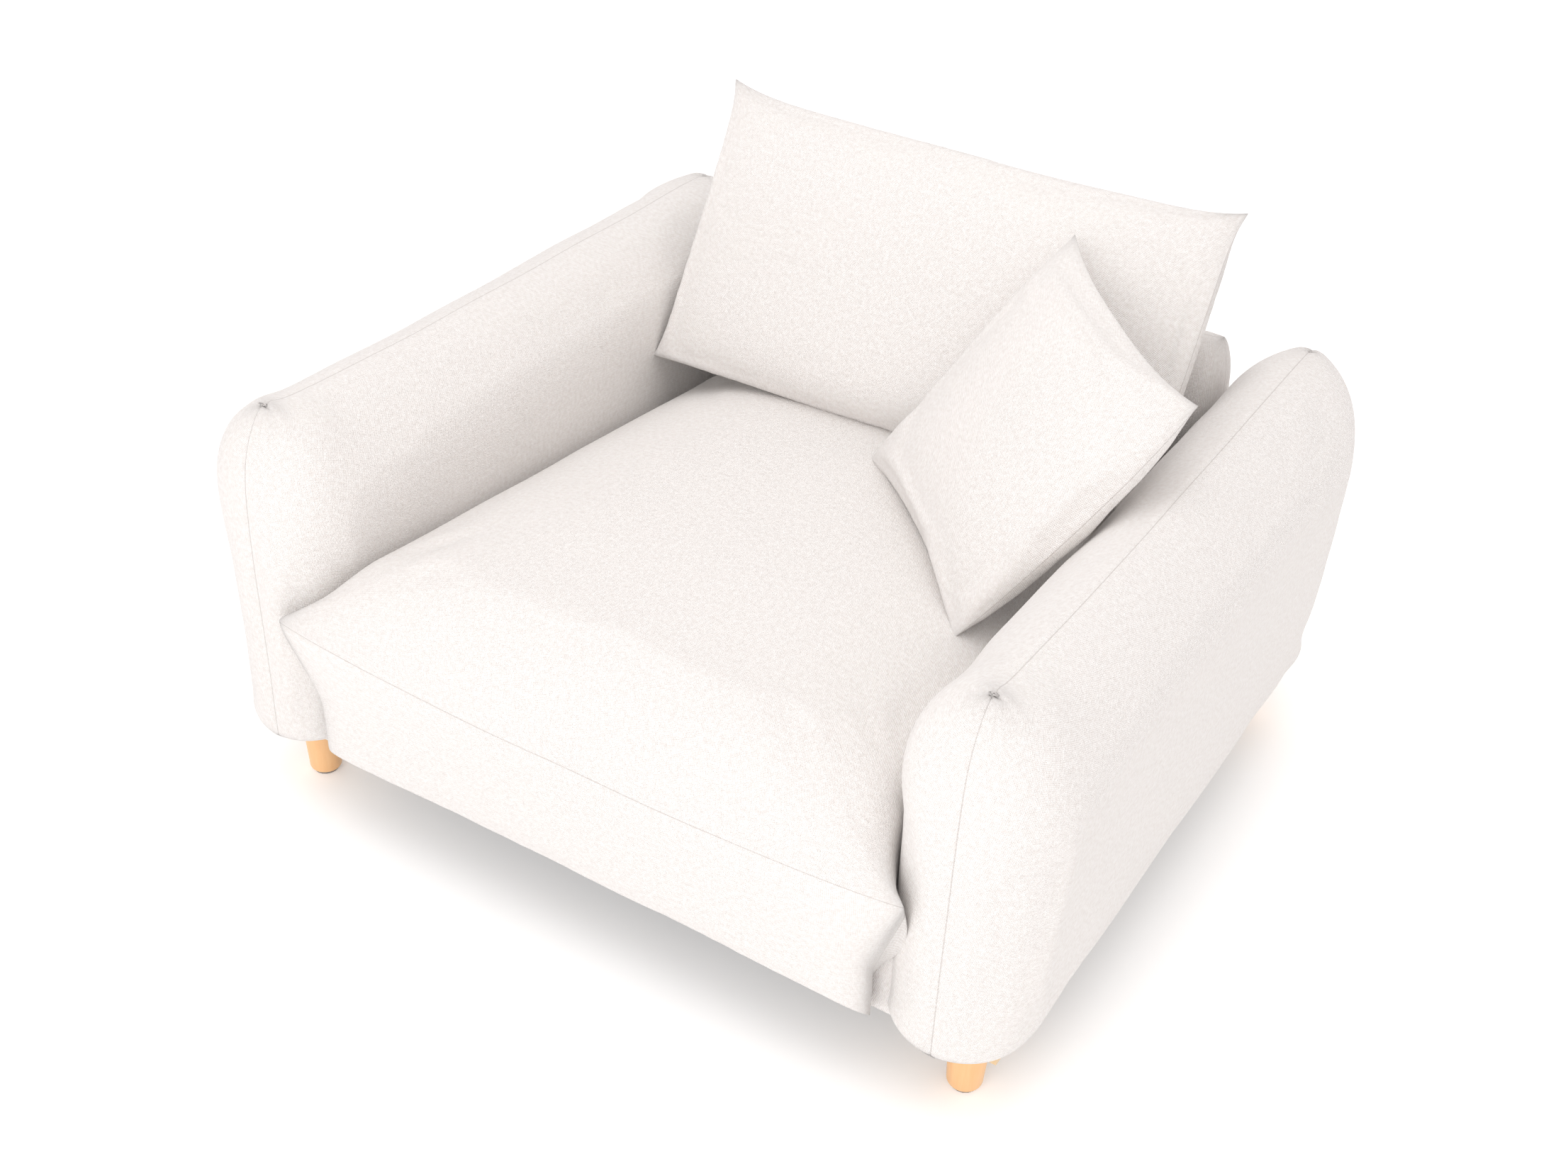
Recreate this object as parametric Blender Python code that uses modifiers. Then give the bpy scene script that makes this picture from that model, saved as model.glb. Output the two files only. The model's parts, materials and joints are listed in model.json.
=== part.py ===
"""Low upholstered lounge armchair: a timber base with webbing, two pillow-shaped arms and a back rest,
a lift-out seat pad with an apron front, a loose back cushion and a throw pillow.

Metres, +Z up, origin on the floor under the middle of the whole chair, the front faces -Y. Places
along y are given from the middle of the base.
"""
import math

import bmesh
import bpy
from mathutils import Matrix, Vector

# Clearances
TOUCH_GAP = 0.0003          # between faces that rest on each other
LAYER_GAP = 0.0008          # between a cushion's cover and the filling that rests on it
STUFFING_GAP = 0.0025       # between any other cover wall and its filling
BORE_GAP = 0.0004           # round a bolt in its bore
SIDE_GAP = 0.0035           # between the arms and what sits between them

# Overall sizes
FOOT_HEIGHT = 0.1130        # floor to the top face of a foot
ARM_SEAM_X = 0.480          # plane of the seam that runs round the middle of each arm
BODY_HALF_DEPTH = 0.509     # front and rear of the arms, from the middle of the base
BASE_Z = FOOT_HEIGHT + TOUCH_GAP

# Arms
ARM_HALF_THICK = 0.092
ARM_TOP = BASE_Z + 0.4637
ARM_EAR = 0.012             # how far the top corners are drawn up
ARM_CORNER_IN = 0.054       # how far the top corners are drawn in from the front and rear
ARM_END_ROUND = 0.02120833  # how far from the ends the arms still round off
COVER_THICK = 0.0025
ARM_BOARD_THICK = 0.012
ARM_BOX_HALF_THICK = ARM_HALF_THICK - 0.036
ARM_BOX_HALF_DEPTH = BODY_HALF_DEPTH - 0.059
ARM_BOX_TOP = ARM_TOP - 0.040
SEAT_HALF_WIDTH = ARM_SEAM_X - ARM_HALF_THICK - SIDE_GAP

# Timber base
FRAME_HALF_WIDTH = ARM_SEAM_X + ARM_HALF_THICK - 0.027
FRAME_HALF_DEPTH = BODY_HALF_DEPTH - 0.031
RAIL_HEIGHT = 0.0867
RAIL_THICK = 0.025
CENTRE_RAIL_THICK = 0.024
BLOCK_LEG = 0.110
BLOCK_HEIGHT = 0.040
DUST_CLOTH_THICK = 0.0012
DUST_CLOTH_CORNER = 0.150   # how much of each corner is cut off for the feet
DECK_Z = BASE_Z + RAIL_HEIGHT

# Feet and hanger bolts
FOOT_TOP_RADIUS = 0.027
FOOT_TIP_RADIUS = 0.021
GLIDE_THICK = 0.0040
GLIDE_RADIUS = 0.0165
FOOT_X = FRAME_HALF_WIDTH - 0.055
FOOT_Y = FRAME_HALF_DEPTH - 0.054
BOLT_RADIUS = 0.0040
BOLT_IN_FOOT = 0.043        # depth below the foot's top face
BOLT_ABOVE_BLOCK = 0.006

# Back rest
BACK_THICK = 0.133
BACK_REAR = BODY_HALF_DEPTH - 0.004
BACK_FRONT = BACK_REAR - BACK_THICK
BACK_TOP = ARM_TOP - 0.020
BACK_EAR = 0.004
BACK_CORNER_IN = 0.012
BACK_END_ROUND = 0.01602083
BACK_BOX_TOP = BACK_TOP - 0.027
BACK_BOX_HALF_WIDTH = 0.910273 * SEAT_HALF_WIDTH     # the box keeps to the full part of the cover
BACK_BOX_HALF_THICK = 0.29699 * BACK_THICK
BACK_BOARD_THICK = 0.012
SPRING_RAIL_FRONT = BACK_FRONT + 0.006      # front face of the rail that takes the webbing's rear ends
SPRING_RAIL_DEEP = 0.040

# Seat deck
STRAP_COUNT = 6
STRAP_WIDTH = 0.060
STRAP_PITCH = 0.122
STRAP_THICK = 0.0020
STRAP_ON_RAIL = 0.018
DECK_THICK = 0.0015
DECK_TOP = DECK_Z + 2 * TOUCH_GAP + STRAP_THICK + DECK_THICK
DECK_TUCK = 0.005                       # how far the deck cloth runs in under the arms and back rest
COVER_FOOT_Z = DECK_TOP + TOUCH_GAP     # inner walls of the arm and back covers, and foam, end here

# Seat pad
PAD_UNDERSIDE = DECK_TOP + TOUCH_GAP
PAD_HALF_WIDTH = SEAT_HALF_WIDTH - 0.0015
PAD_REAR = BACK_FRONT - 0.037
PAD_CROWN_FRONT_Y = 0.089 - BODY_HALF_DEPTH     # where the top starts to roll over the front
PAD_NOSE = BODY_HALF_DEPTH + 0.021      # seam at the middle of the front, forward of the base's middle
PAD_NOSE_AT_EAR = PAD_NOSE - 0.010
PAD_SEAM_Z = PAD_UNDERSIDE + 0.1136
PAD_EAR = 0.057                         # how far each front corner is drawn out round the arm
PAD_SIDE_FRONT = 0.1736                 # thickness along the pad's sides
PAD_SIDE_REAR = 0.0916
PAD_RISE_FRONT = 0.052                  # crown above the sides
PAD_RISE_REAR = 0.104
PAD_ROUND = 2.4                         # higher is flatter across the top
APRON_FRONT = FRAME_HALF_DEPTH + 0.032
APRON_THICK = 0.0285
APRON_HEM = BASE_Z + 0.0032
PAD_COVER_THICK = 0.0020
WRAP_THICK = 0.020
SEAM_DEPTH = 3.0            # seam allowance inside a knife edge, in thicknesses of its cover


def pad_top(y, across):
    """Height of the pad's top at a depth y, at a share across its half width."""
    back_share = max(0.0, (y - PAD_CROWN_FRONT_Y) / (PAD_REAR - PAD_CROWN_FRONT_Y))
    side = PAD_SIDE_FRONT + (PAD_SIDE_REAR - PAD_SIDE_FRONT) * back_share
    rise = PAD_RISE_FRONT + (PAD_RISE_REAR - PAD_RISE_FRONT) * back_share
    return PAD_UNDERSIDE + side + rise * (1 - abs(across) ** PAD_ROUND)


# Back cushion: places of its seam's corners as (y, z), and how far it bulges from the seam's surface
BACK_CUSHION_REAR_Y = BACK_FRONT - 0.029        # it lies flat towards the back rest here
BACK_CUSHION_FOOT_Y = BACK_FRONT - 0.147        # front of its flat underside
BACK_CUSHION_FLOOR = pad_top(BACK_CUSHION_FOOT_Y, 0) + TOUCH_GAP
BACK_CUSHION_HALF_WIDTH = SEAT_HALF_WIDTH - 0.001
BACK_CUSHION_LOW = (BACK_FRONT - 0.192, BACK_CUSHION_FLOOR + 0.0085)
BACK_CUSHION_TOP = (BACK_FRONT + 0.020, BACK_CUSHION_FLOOR + 0.3513)
BACK_CUSHION_FRONT_BULGE = 0.058
BACK_CUSHION_REAR_BULGE = 0.138
CUSHION_SIDES_IN = 0.035    # how far a side's middle pulls in, as a share of its half length

# Throw pillow: its seam's corners as (x, y, height above the pad's top at PILLOW_STANDS_AT)
PILLOW_STANDS_AT = (BACK_FRONT - 0.402, 0.42)
PILLOW_LOW_BACK = (0.024, BACK_FRONT - 0.262, 0.0042)
PILLOW_LOW_FRONT = (0.297, BACK_FRONT - 0.535, -0.0118)
PILLOW_HIGH_FRONT = (0.473, BACK_FRONT - 0.365, 0.2772)
PILLOW_HIGH_BACK = (0.201, BACK_FRONT - 0.095, 0.3012)
PILLOW_BULGE = 0.060
PILLOW_SIDES_IN = 0.075
PILLOW_SLIT_HALF_LENGTH = 0.110
PILLOW_SLIT_BELOW = 0.031
PILLOW_SLIT_WIDTH = 0.006

# Zips
ZIP_OPENING = 0.012
ZIP_TAPE_THICK = 0.0012
SEAT_ZIP_HALF_LENGTH = 0.300
SEAT_ZIP_Z = PAD_UNDERSIDE + 0.0575
BACK_ZIP_HALF_LENGTH = 0.200
BACK_ZIP_Z = BACK_CUSHION_FLOOR + 0.1073
SLIDER_LENGTH = 0.010
SLIDER_WIDTH = 0.009
SLIDER_THICK = 0.0045
SLIDER_END_MARGIN = 0.012
PULL_LENGTH = 0.020
PULL_WIDTH = 0.007
PULL_THICK = 0.0014
PULL_GAP = 0.0006           # room for the pull's near end to turn past the slider's face

CENTRE = Vector((0, (PAD_NOSE - BODY_HALF_DEPTH) / 2, 0))   # middle of the base, from the origin
SIDES = (("left", -1), ("right", 1))
ENDS = (("front", -1), ("rear", 1))


# ---------------------------------------------------------------- scene and objects

def clear_scene():
    for obj in list(bpy.data.objects):
        bpy.data.objects.remove(obj, do_unlink=True)


def new_collection(name):
    collection = bpy.data.collections.new(name)
    bpy.context.scene.collection.children.link(collection)
    return collection


clear_scene()
PARTS = new_collection("lounge_armchair")
CUTTERS = new_collection("cutters")

FINISHES = {
    "cover": ((0.93, 0.90, 0.86), 0.95, 0.0),
    "foam": ((0.93, 0.86, 0.62), 0.90, 0.0),
    "fibre": ((0.95, 0.95, 0.95), 0.95, 0.0),
    "timber": ((0.72, 0.52, 0.30), 0.60, 0.0),
    "foot_wood": ((0.86, 0.64, 0.38), 0.45, 0.0),
    "plywood": ((0.78, 0.62, 0.42), 0.65, 0.0),
    "webbing": ((0.45, 0.43, 0.40), 0.85, 0.0),
    "cloth": ((0.82, 0.80, 0.76), 0.95, 0.0),
    "dust_cloth": ((0.05, 0.05, 0.05), 0.95, 0.0),
    "felt": ((0.30, 0.28, 0.26), 0.95, 0.0),
    "steel": ((0.62, 0.62, 0.62), 0.35, 1.0),
    "zip_metal": ((0.70, 0.68, 0.64), 0.30, 1.0),
}


def finish_of(name, finish):
    colour, roughness, metallic = FINISHES[finish]
    material = bpy.data.materials.new(name + "_finish")
    material.use_nodes = True
    shader = material.node_tree.nodes["Principled BSDF"]
    shader.inputs["Base Color"].default_value = (*colour, 1.0)
    shader.inputs["Roughness"].default_value = roughness
    shader.inputs["Metallic"].default_value = metallic
    return material


def face_outwards(bm):
    bmesh.ops.recalc_face_normals(bm, faces=bm.faces)
    if bm.calc_volume(signed=True) < 0:
        bmesh.ops.reverse_faces(bm, faces=bm.faces)


def placed(name, bm, location, turn):
    """An object from a bmesh, which is freed. location is from the middle of the base."""
    face_outwards(bm)
    mesh = bpy.data.meshes.new(name)
    bm.to_mesh(mesh)
    bm.free()
    obj = bpy.data.objects.new(name, mesh)
    obj.location = CENTRE + Vector(location)
    obj.rotation_euler = (0, 0, turn)
    return obj


def make_object(name, bm, finish, location=(0, 0, 0), turn=0.0):
    obj = placed(name, bm, location, turn)
    obj.data.materials.append(finish_of(name, finish))
    PARTS.objects.link(obj)
    return obj


def make_cutter(name, bm, location=(0, 0, 0), turn=0.0):
    obj = placed(name, bm, location, turn)
    obj.hide_render = True
    obj.display_type = "WIRE"
    CUTTERS.objects.link(obj)
    return obj


def cut(target, cutter):
    """Takes the cutter away from the target."""
    boolean = target.modifiers.new("cut_" + cutter.name, "BOOLEAN")
    boolean.operation = "DIFFERENCE"
    boolean.solver = "EXACT"
    boolean.object = cutter
    return target


def block(low, high):
    """bmesh of a box between two corners."""
    low, high = Vector(low), Vector(high)
    size = high - low
    bm = bmesh.new()
    matrix = Matrix.Translation((low + high) / 2) @ Matrix.Diagonal((*size, 1))
    bmesh.ops.create_cube(bm, size=1, matrix=matrix)
    return bm


def cylinder(radius, low, high, x=0.0, y=0.0, sides=16):
    """bmesh of an upright cylinder between two heights."""
    bm = bmesh.new()
    bmesh.ops.create_cone(
        bm, cap_ends=True, segments=sides, radius1=radius, radius2=radius, depth=high - low,
        matrix=Matrix.Translation((x, y, (low + high) / 2)))
    return bm


def bevelled(obj, width, segments=2):
    bevel = obj.modifiers.new("bevel", "BEVEL")
    bevel.width = width
    bevel.segments = segments
    return obj


# ---------------------------------------------------------------- feet and base

def foot(name, x, y):
    """Turned foot on its own axis, with a bore for the hanger bolt."""
    bm = bmesh.new()
    tip = 0.004
    profile = [
        (0, FOOT_HEIGHT), (FOOT_TOP_RADIUS, FOOT_HEIGHT), (FOOT_TIP_RADIUS, GLIDE_THICK + tip),
        (FOOT_TIP_RADIUS - tip, GLIDE_THICK + TOUCH_GAP), (0, GLIDE_THICK + TOUCH_GAP)]
    points = [bm.verts.new((radius, 0, z)) for radius, z in profile]
    for first, second in zip(points, points[1:]):
        bm.edges.new((first, second))
    obj = make_object(name, bm, "foot_wood", (x, y, 0))
    screw = obj.modifiers.new("turned", "SCREW")
    screw.steps = screw.render_steps = 20
    screw.use_merge_vertices = True
    screw.merge_threshold = 0.0001
    bore = make_cutter(
        name + "_bore",
        cylinder(BOLT_RADIUS + BORE_GAP, FOOT_HEIGHT - BOLT_IN_FOOT - TOUCH_GAP, FOOT_HEIGHT + 0.01,
                 sides=12), (x, y, 0))
    return cut(obj, bore)


def corner_block(name, side, end):
    """Triangular block inside a corner of the base, bored for the hanger bolt."""
    corner_x = FRAME_HALF_WIDTH - RAIL_THICK - TOUCH_GAP
    corner_y = FRAME_HALF_DEPTH - RAIL_THICK - TOUCH_GAP
    bm = block((corner_x - BLOCK_LEG, corner_y - BLOCK_LEG, BASE_Z),
               (corner_x, corner_y, BASE_Z + BLOCK_HEIGHT))
    geometry = bm.verts[:] + bm.edges[:] + bm.faces[:]
    middle = Vector((corner_x - BLOCK_LEG / 2, corner_y - BLOCK_LEG / 2, BASE_Z))
    bmesh.ops.bisect_plane(bm, geom=geometry, plane_co=middle, plane_no=(-1, -1, 0), clear_outer=True)
    bmesh.ops.holes_fill(bm, edges=bm.edges, sides=0)
    bmesh.ops.scale(bm, vec=(side, end, 1), verts=bm.verts)
    obj = make_object(name, bm, "timber")
    bore = make_cutter(
        name + "_bore",
        cylinder(BOLT_RADIUS + BORE_GAP, BASE_Z - 0.01, BASE_Z + BLOCK_HEIGHT + 0.01,
                 side * FOOT_X, end * FOOT_Y, 12))
    return cut(obj, bore)


def make_feet():
    for end_name, end in ENDS:
        for side_name, side in SIDES:
            place = f"{end_name}_{side_name}"
            x, y = side * FOOT_X, end * FOOT_Y
            foot("foot_" + place, x, y)
            make_object("foot_glide_" + place, cylinder(GLIDE_RADIUS, 0, GLIDE_THICK), "felt", (x, y, 0))
            corner_block("corner_block_" + place, side, end)
            make_object(
                "hanger_bolt_" + place,
                cylinder(BOLT_RADIUS, FOOT_HEIGHT - BOLT_IN_FOOT,
                         BASE_Z + BLOCK_HEIGHT + BOLT_ABOVE_BLOCK, sides=12),
                "steel", (x, y, 0))


def make_base():
    """Rails round the base, with a centre rail between the front and rear ones. The spring rail rests on
    the centre rail and on the rear corner blocks."""
    inner_x = FRAME_HALF_WIDTH - RAIL_THICK - TOUCH_GAP
    inner_y = FRAME_HALF_DEPTH - RAIL_THICK
    block_top = BASE_Z + BLOCK_HEIGHT
    for name, y_low, y_high, z_low in (
            ("base_front_rail", -FRAME_HALF_DEPTH, -inner_y, BASE_Z),
            ("base_rear_rail", inner_y, FRAME_HALF_DEPTH, BASE_Z),
            ("base_spring_rail", SPRING_RAIL_FRONT, SPRING_RAIL_FRONT + SPRING_RAIL_DEEP,
             block_top + TOUCH_GAP)):
        make_object(name, block((-inner_x, y_low, z_low), (inner_x, y_high, DECK_Z)), "timber")
    for side_name, side in SIDES:
        ends = sorted((side * (FRAME_HALF_WIDTH - RAIL_THICK), side * FRAME_HALF_WIDTH))
        rail = block((ends[0], -FRAME_HALF_DEPTH, BASE_Z), (ends[1], FRAME_HALF_DEPTH, DECK_Z))
        make_object("base_side_rail_" + side_name, rail, "timber")
    centre = block((-CENTRE_RAIL_THICK / 2, -inner_y + TOUCH_GAP, BASE_Z),
                   (CENTRE_RAIL_THICK / 2, inner_y - TOUCH_GAP, block_top))
    make_object("base_centre_rail", centre, "timber")


def make_dust_cloth():
    half_x = FRAME_HALF_WIDTH - 0.010
    half_y = FRAME_HALF_DEPTH - 0.006
    top = BASE_Z - TOUCH_GAP
    bm = block((-half_x, -half_y, top - DUST_CLOTH_THICK), (half_x, half_y, top))
    for side in (-1, 1):
        for end in (-1, 1):
            on_cut = Vector((side * (half_x - DUST_CLOTH_CORNER / 2),
                             end * (half_y - DUST_CLOTH_CORNER / 2), top))
            geometry = bm.verts[:] + bm.edges[:] + bm.faces[:]
            bmesh.ops.bisect_plane(
                bm, geom=geometry, plane_co=on_cut, plane_no=(side, end, 0), clear_outer=True)
            bmesh.ops.holes_fill(bm, edges=bm.edges, sides=0)
    make_object("dust_cloth", bm, "dust_cloth")


def make_deck():
    """Elastic webbing from the front rail to the spring rail, the deck cloth over it, and the fabric
    that faces the front rail behind the pad's apron."""
    strap_low = DECK_Z + TOUCH_GAP
    strap_front = -FRAME_HALF_DEPTH + RAIL_THICK - STRAP_ON_RAIL
    strap_rear = SPRING_RAIL_FRONT + STRAP_ON_RAIL
    for index in range(STRAP_COUNT):
        x = (index - (STRAP_COUNT - 1) / 2) * STRAP_PITCH
        strap = block((x - STRAP_WIDTH / 2, strap_front, strap_low),
                      (x + STRAP_WIDTH / 2, strap_rear, strap_low + STRAP_THICK))
        make_object(f"webbing_strap_{index + 1}", strap, "webbing")
    deck_half_width = ARM_SEAM_X - ARM_HALF_THICK + DECK_TUCK
    deck = block((-deck_half_width, -FRAME_HALF_DEPTH, DECK_TOP - DECK_THICK),
                 (deck_half_width, BACK_FRONT + DECK_TUCK, DECK_TOP))
    make_object("deck_cloth", deck, "cloth")
    facing_rear = -FRAME_HALF_DEPTH - TOUCH_GAP
    facing = block((-SEAT_HALF_WIDTH, facing_rear - COVER_THICK / 2, BASE_Z),
                   (SEAT_HALF_WIDTH, facing_rear, DECK_TOP))
    make_object("front_rail_facing", facing, "cover")


# ---------------------------------------------------------------- arms and back rest

def panel_grid(bm, across, up):
    """Vertices of a flat panel from -1 to 1 each way, in triangles. Its corner faces are split from the
    corner inwards, so that two panels sewn at their edges have no flat triangle in common."""
    grid = bmesh.ops.create_grid(bm, x_segments=across, y_segments=up, size=1)["verts"]
    for vert in grid:
        if len(vert.link_faces) == 1:
            face = vert.link_faces[0]
            opposite = max(face.verts, key=lambda other: (other.co - vert.co).length)
            bmesh.utils.face_split(face, vert, opposite)
    faces = {face for vert in grid for face in vert.link_faces}
    bmesh.ops.triangulate(bm, faces=list(faces), quad_method="FIXED")
    return grid


def towards_ends(share, power):
    """Turns an even step from -1 to 1 into one that crowds towards both ends."""
    return math.copysign(1 - (1 - abs(share)) ** power, share)


def flatten_below(bm, z):
    """Cuts off what lies below a height and closes the cut with a flat face."""
    geometry = bm.verts[:] + bm.edges[:] + bm.faces[:]
    bmesh.ops.bisect_plane(bm, geom=geometry, plane_co=(0, 0, z), plane_no=(0, 0, -1), clear_outer=True)
    bmesh.ops.holes_fill(bm, edges=bm.edges, sides=0)
    return bm


def pillow_wall(half_length, top, half_thick, ear, corner_in, end_power, below):
    """Upright pillow-shaped body about its seam plane x = 0, long axis along y, standing flat on the base
    or reaching below it. The seam runs up the front, over the top and down the rear, and its top corners
    are pinched. end_power is higher for ends that round off over less of the length."""
    bm = bmesh.new()
    height = top - BASE_Z
    for vert in panel_grid(bm, 12, 7):
        along = towards_ends(vert.co.x, 2.2)
        up = 1 - (1 - (vert.co.y + 1) / 2) ** 1.8
        rounding = max(0.0, 2 * up - 1)
        half = half_thick * (1 - abs(along) ** end_power) ** 0.45 * (1 - rounding ** 8) ** 0.45
        y = along * (half_length - corner_in * rounding ** 7.5)
        z = BASE_Z + height * up + ear * abs(along) ** 10 * up ** 4
        vert.co = (half, y, z - (below if up == 0 else 0))
    geometry = bm.verts[:] + bm.edges[:] + bm.faces[:]
    bmesh.ops.mirror(bm, geom=geometry, axis="X", merge_dist=0.0001)
    bmesh.ops.holes_fill(bm, edges=bm.edges, sides=0)
    return bm


def arm_body(inset=0.0, below=0.0):
    return pillow_wall(BODY_HALF_DEPTH - 2 * inset, ARM_TOP - 1.5 * inset, ARM_HALF_THICK - inset,
                       ARM_EAR, ARM_CORNER_IN, BODY_HALF_DEPTH / ARM_END_ROUND, below)


def back_body(inset=0.0, below=0.0):
    return pillow_wall(SEAT_HALF_WIDTH - 2 * inset, BACK_TOP - 1.5 * inset, BACK_THICK / 2 - inset,
                       BACK_EAR, BACK_CORNER_IN, SEAT_HALF_WIDTH / BACK_END_ROUND, below)


def make_boards(prefix, place, half_thick, half_length, top, board_thick):
    """A box frame of two boards and a top board, standing on the base, open below and at its ends."""
    inner = half_thick - board_thick
    foot_z = DECK_Z + TOUCH_GAP
    for label, low, high in (("inner", -half_thick, -inner), ("outer", inner, half_thick)):
        bm = block((low, -half_length, foot_z), (high, half_length, top))
        bmesh.ops.transform(bm, matrix=place, verts=bm.verts)
        make_object(f"{prefix}_{label}_board", bm, "plywood")
    bm = block((-inner + TOUCH_GAP, -half_length, top - board_thick), (inner - TOUCH_GAP, half_length, top))
    bmesh.ops.transform(bm, matrix=place, verts=bm.verts)
    make_object(f"{prefix}_top_board", bm, "plywood")


def make_upholstery(prefix, body, box, place, inner_cut):
    """Cover and foam over a box frame: the cover is open below, the foam is hollow for the boards."""
    turn, location = place
    cover = make_object(f"{prefix}_cover", body(), "cover", location, turn)
    cut(cover, make_cutter(f"{prefix}_cover_hollow", body(COVER_THICK, 0.02), location, turn))
    cut(cover, make_cutter(f"{prefix}_cover_base_cut", block(*inner_cut)))
    filling = flatten_below(body(COVER_THICK + STUFFING_GAP), COVER_FOOT_Z)
    foam = make_object(f"{prefix}_foam", filling, "foam", location, turn)
    half_thick, half_length, top = box
    hollow = block((-half_thick - TOUCH_GAP, -half_length - TOUCH_GAP, DECK_Z - 0.02),
                   (half_thick + TOUCH_GAP, half_length + TOUCH_GAP, top + TOUCH_GAP))
    cut(foam, make_cutter(f"{prefix}_foam_hollow", hollow, location, turn))


def make_arms():
    box = (ARM_BOX_HALF_THICK, ARM_BOX_HALF_DEPTH, ARM_BOX_TOP)
    clear_y = FRAME_HALF_DEPTH + TOUCH_GAP + COVER_THICK / 2
    for side_name, side in SIDES:
        turn = 0.0 if side > 0 else math.pi
        reach = sorted((side * (SEAT_HALF_WIDTH - 0.05), side * ARM_SEAM_X))
        inner_cut = ((reach[0], -clear_y, BASE_Z - 0.05), (reach[1], clear_y, COVER_FOOT_Z))
        location = (side * ARM_SEAM_X, 0, 0)
        matrix = Matrix.Translation(location) @ Matrix.Rotation(turn, 4, "Z")
        make_upholstery(f"arm_{side_name}", arm_body, box, (turn, location), inner_cut)
        make_boards(f"arm_{side_name}", matrix, *box, ARM_BOARD_THICK)


def make_back_rest():
    middle = (BACK_FRONT + BACK_REAR) / 2
    box = (BACK_BOX_HALF_THICK, BACK_BOX_HALF_WIDTH, BACK_BOX_TOP)
    clear_y = FRAME_HALF_DEPTH + TOUCH_GAP
    reach = SEAT_HALF_WIDTH + 0.05
    inner_cut = ((-reach, BACK_FRONT - 0.05, BASE_Z - 0.05), (reach, clear_y, COVER_FOOT_Z))
    location, turn = (0, middle, 0), math.pi / 2
    matrix = Matrix.Translation(location) @ Matrix.Rotation(turn, 4, "Z")
    make_upholstery("back_rest", back_body, box, (turn, location), inner_cut)
    make_boards("back_rest", matrix, *box, BACK_BOARD_THICK)


# ---------------------------------------------------------------- seat pad

def pad_section(across, inset, floor_inset):
    """The pad's outline at a share across it, as (half width, y, z) points, from the lower rear edge over
    the top, round the nose and down the apron."""
    rear, half = PAD_REAR - inset, PAD_HALF_WIDTH - inset
    ear = PAD_EAR - SEAM_DEPTH * inset
    nose = PAD_NOSE + (PAD_NOSE_AT_EAR - PAD_NOSE) * abs(across) ** 3 - inset
    under, hem = PAD_UNDERSIDE + floor_inset, APRON_HEM + inset
    apron_front, apron_rear = APRON_FRONT - inset, APRON_FRONT - APRON_THICK + inset
    top_rear = pad_top(rear, across) - inset
    points = [(half, rear, under), (half, rear, under + 0.5 * (top_rear - under)),
              (half, rear, top_rear - 0.030), (half, rear - 0.012, top_rear - 0.008)]
    top_steps = 6
    for step in range(top_steps):
        y = rear - 0.05 + (PAD_CROWN_FRONT_Y - rear + 0.05) * step / (top_steps - 1)
        points.append((half, y, pad_top(y, across) - inset))
    crown = pad_top(PAD_CROWN_FRONT_Y, across) - inset
    for degrees, flare in ((30, 0.06), (60, 0.36), (90, 1.0)):
        angle = math.radians(degrees)
        y = PAD_CROWN_FRONT_Y - (nose + PAD_CROWN_FRONT_Y) * math.sin(angle)
        z = PAD_SEAM_Z + (crown - PAD_SEAM_Z) * math.cos(angle)
        points.append((half + flare * ear, y, z))
    middle_z = PAD_SEAM_Z - 0.075
    points.append((half + 0.30 * ear, -(nose + 2 * apron_front) / 3, middle_z))
    points.append((half + 0.10 * ear, -apron_front, (middle_z + hem) / 2))
    points += [(half, -apron_front, hem), (half, -apron_rear, hem), (half, -apron_rear, under)]
    return points


def pad_body(inset=0.0, floor_inset=0.0):
    """Sections across the pad, bridged, and each side closed by a fan about the inner corner behind its
    apron."""
    bm = bmesh.new()
    columns = 12
    rings = []
    for column in range(columns + 1):
        across = towards_ends(2 * column / columns - 1, 1.5)
        section = pad_section(across, inset, floor_inset)
        rings.append([bm.verts.new((across * half, y, z)) for half, y, z in section])
    loops = [[bm.edges.new((ring[i], ring[i - 1])) for i in range(len(ring))] for ring in rings]
    for first, second in zip(loops, loops[1:]):
        bmesh.ops.bridge_loops(bm, edges=first + second)
    for ring in (rings[0], rings[-1]):
        for first, second in zip(ring[:-1], ring[1:-1]):
            bm.faces.new((ring[-1], first, second))
    bmesh.ops.triangulate(bm, faces=bm.faces, quad_method="FIXED")
    return bm


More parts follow.
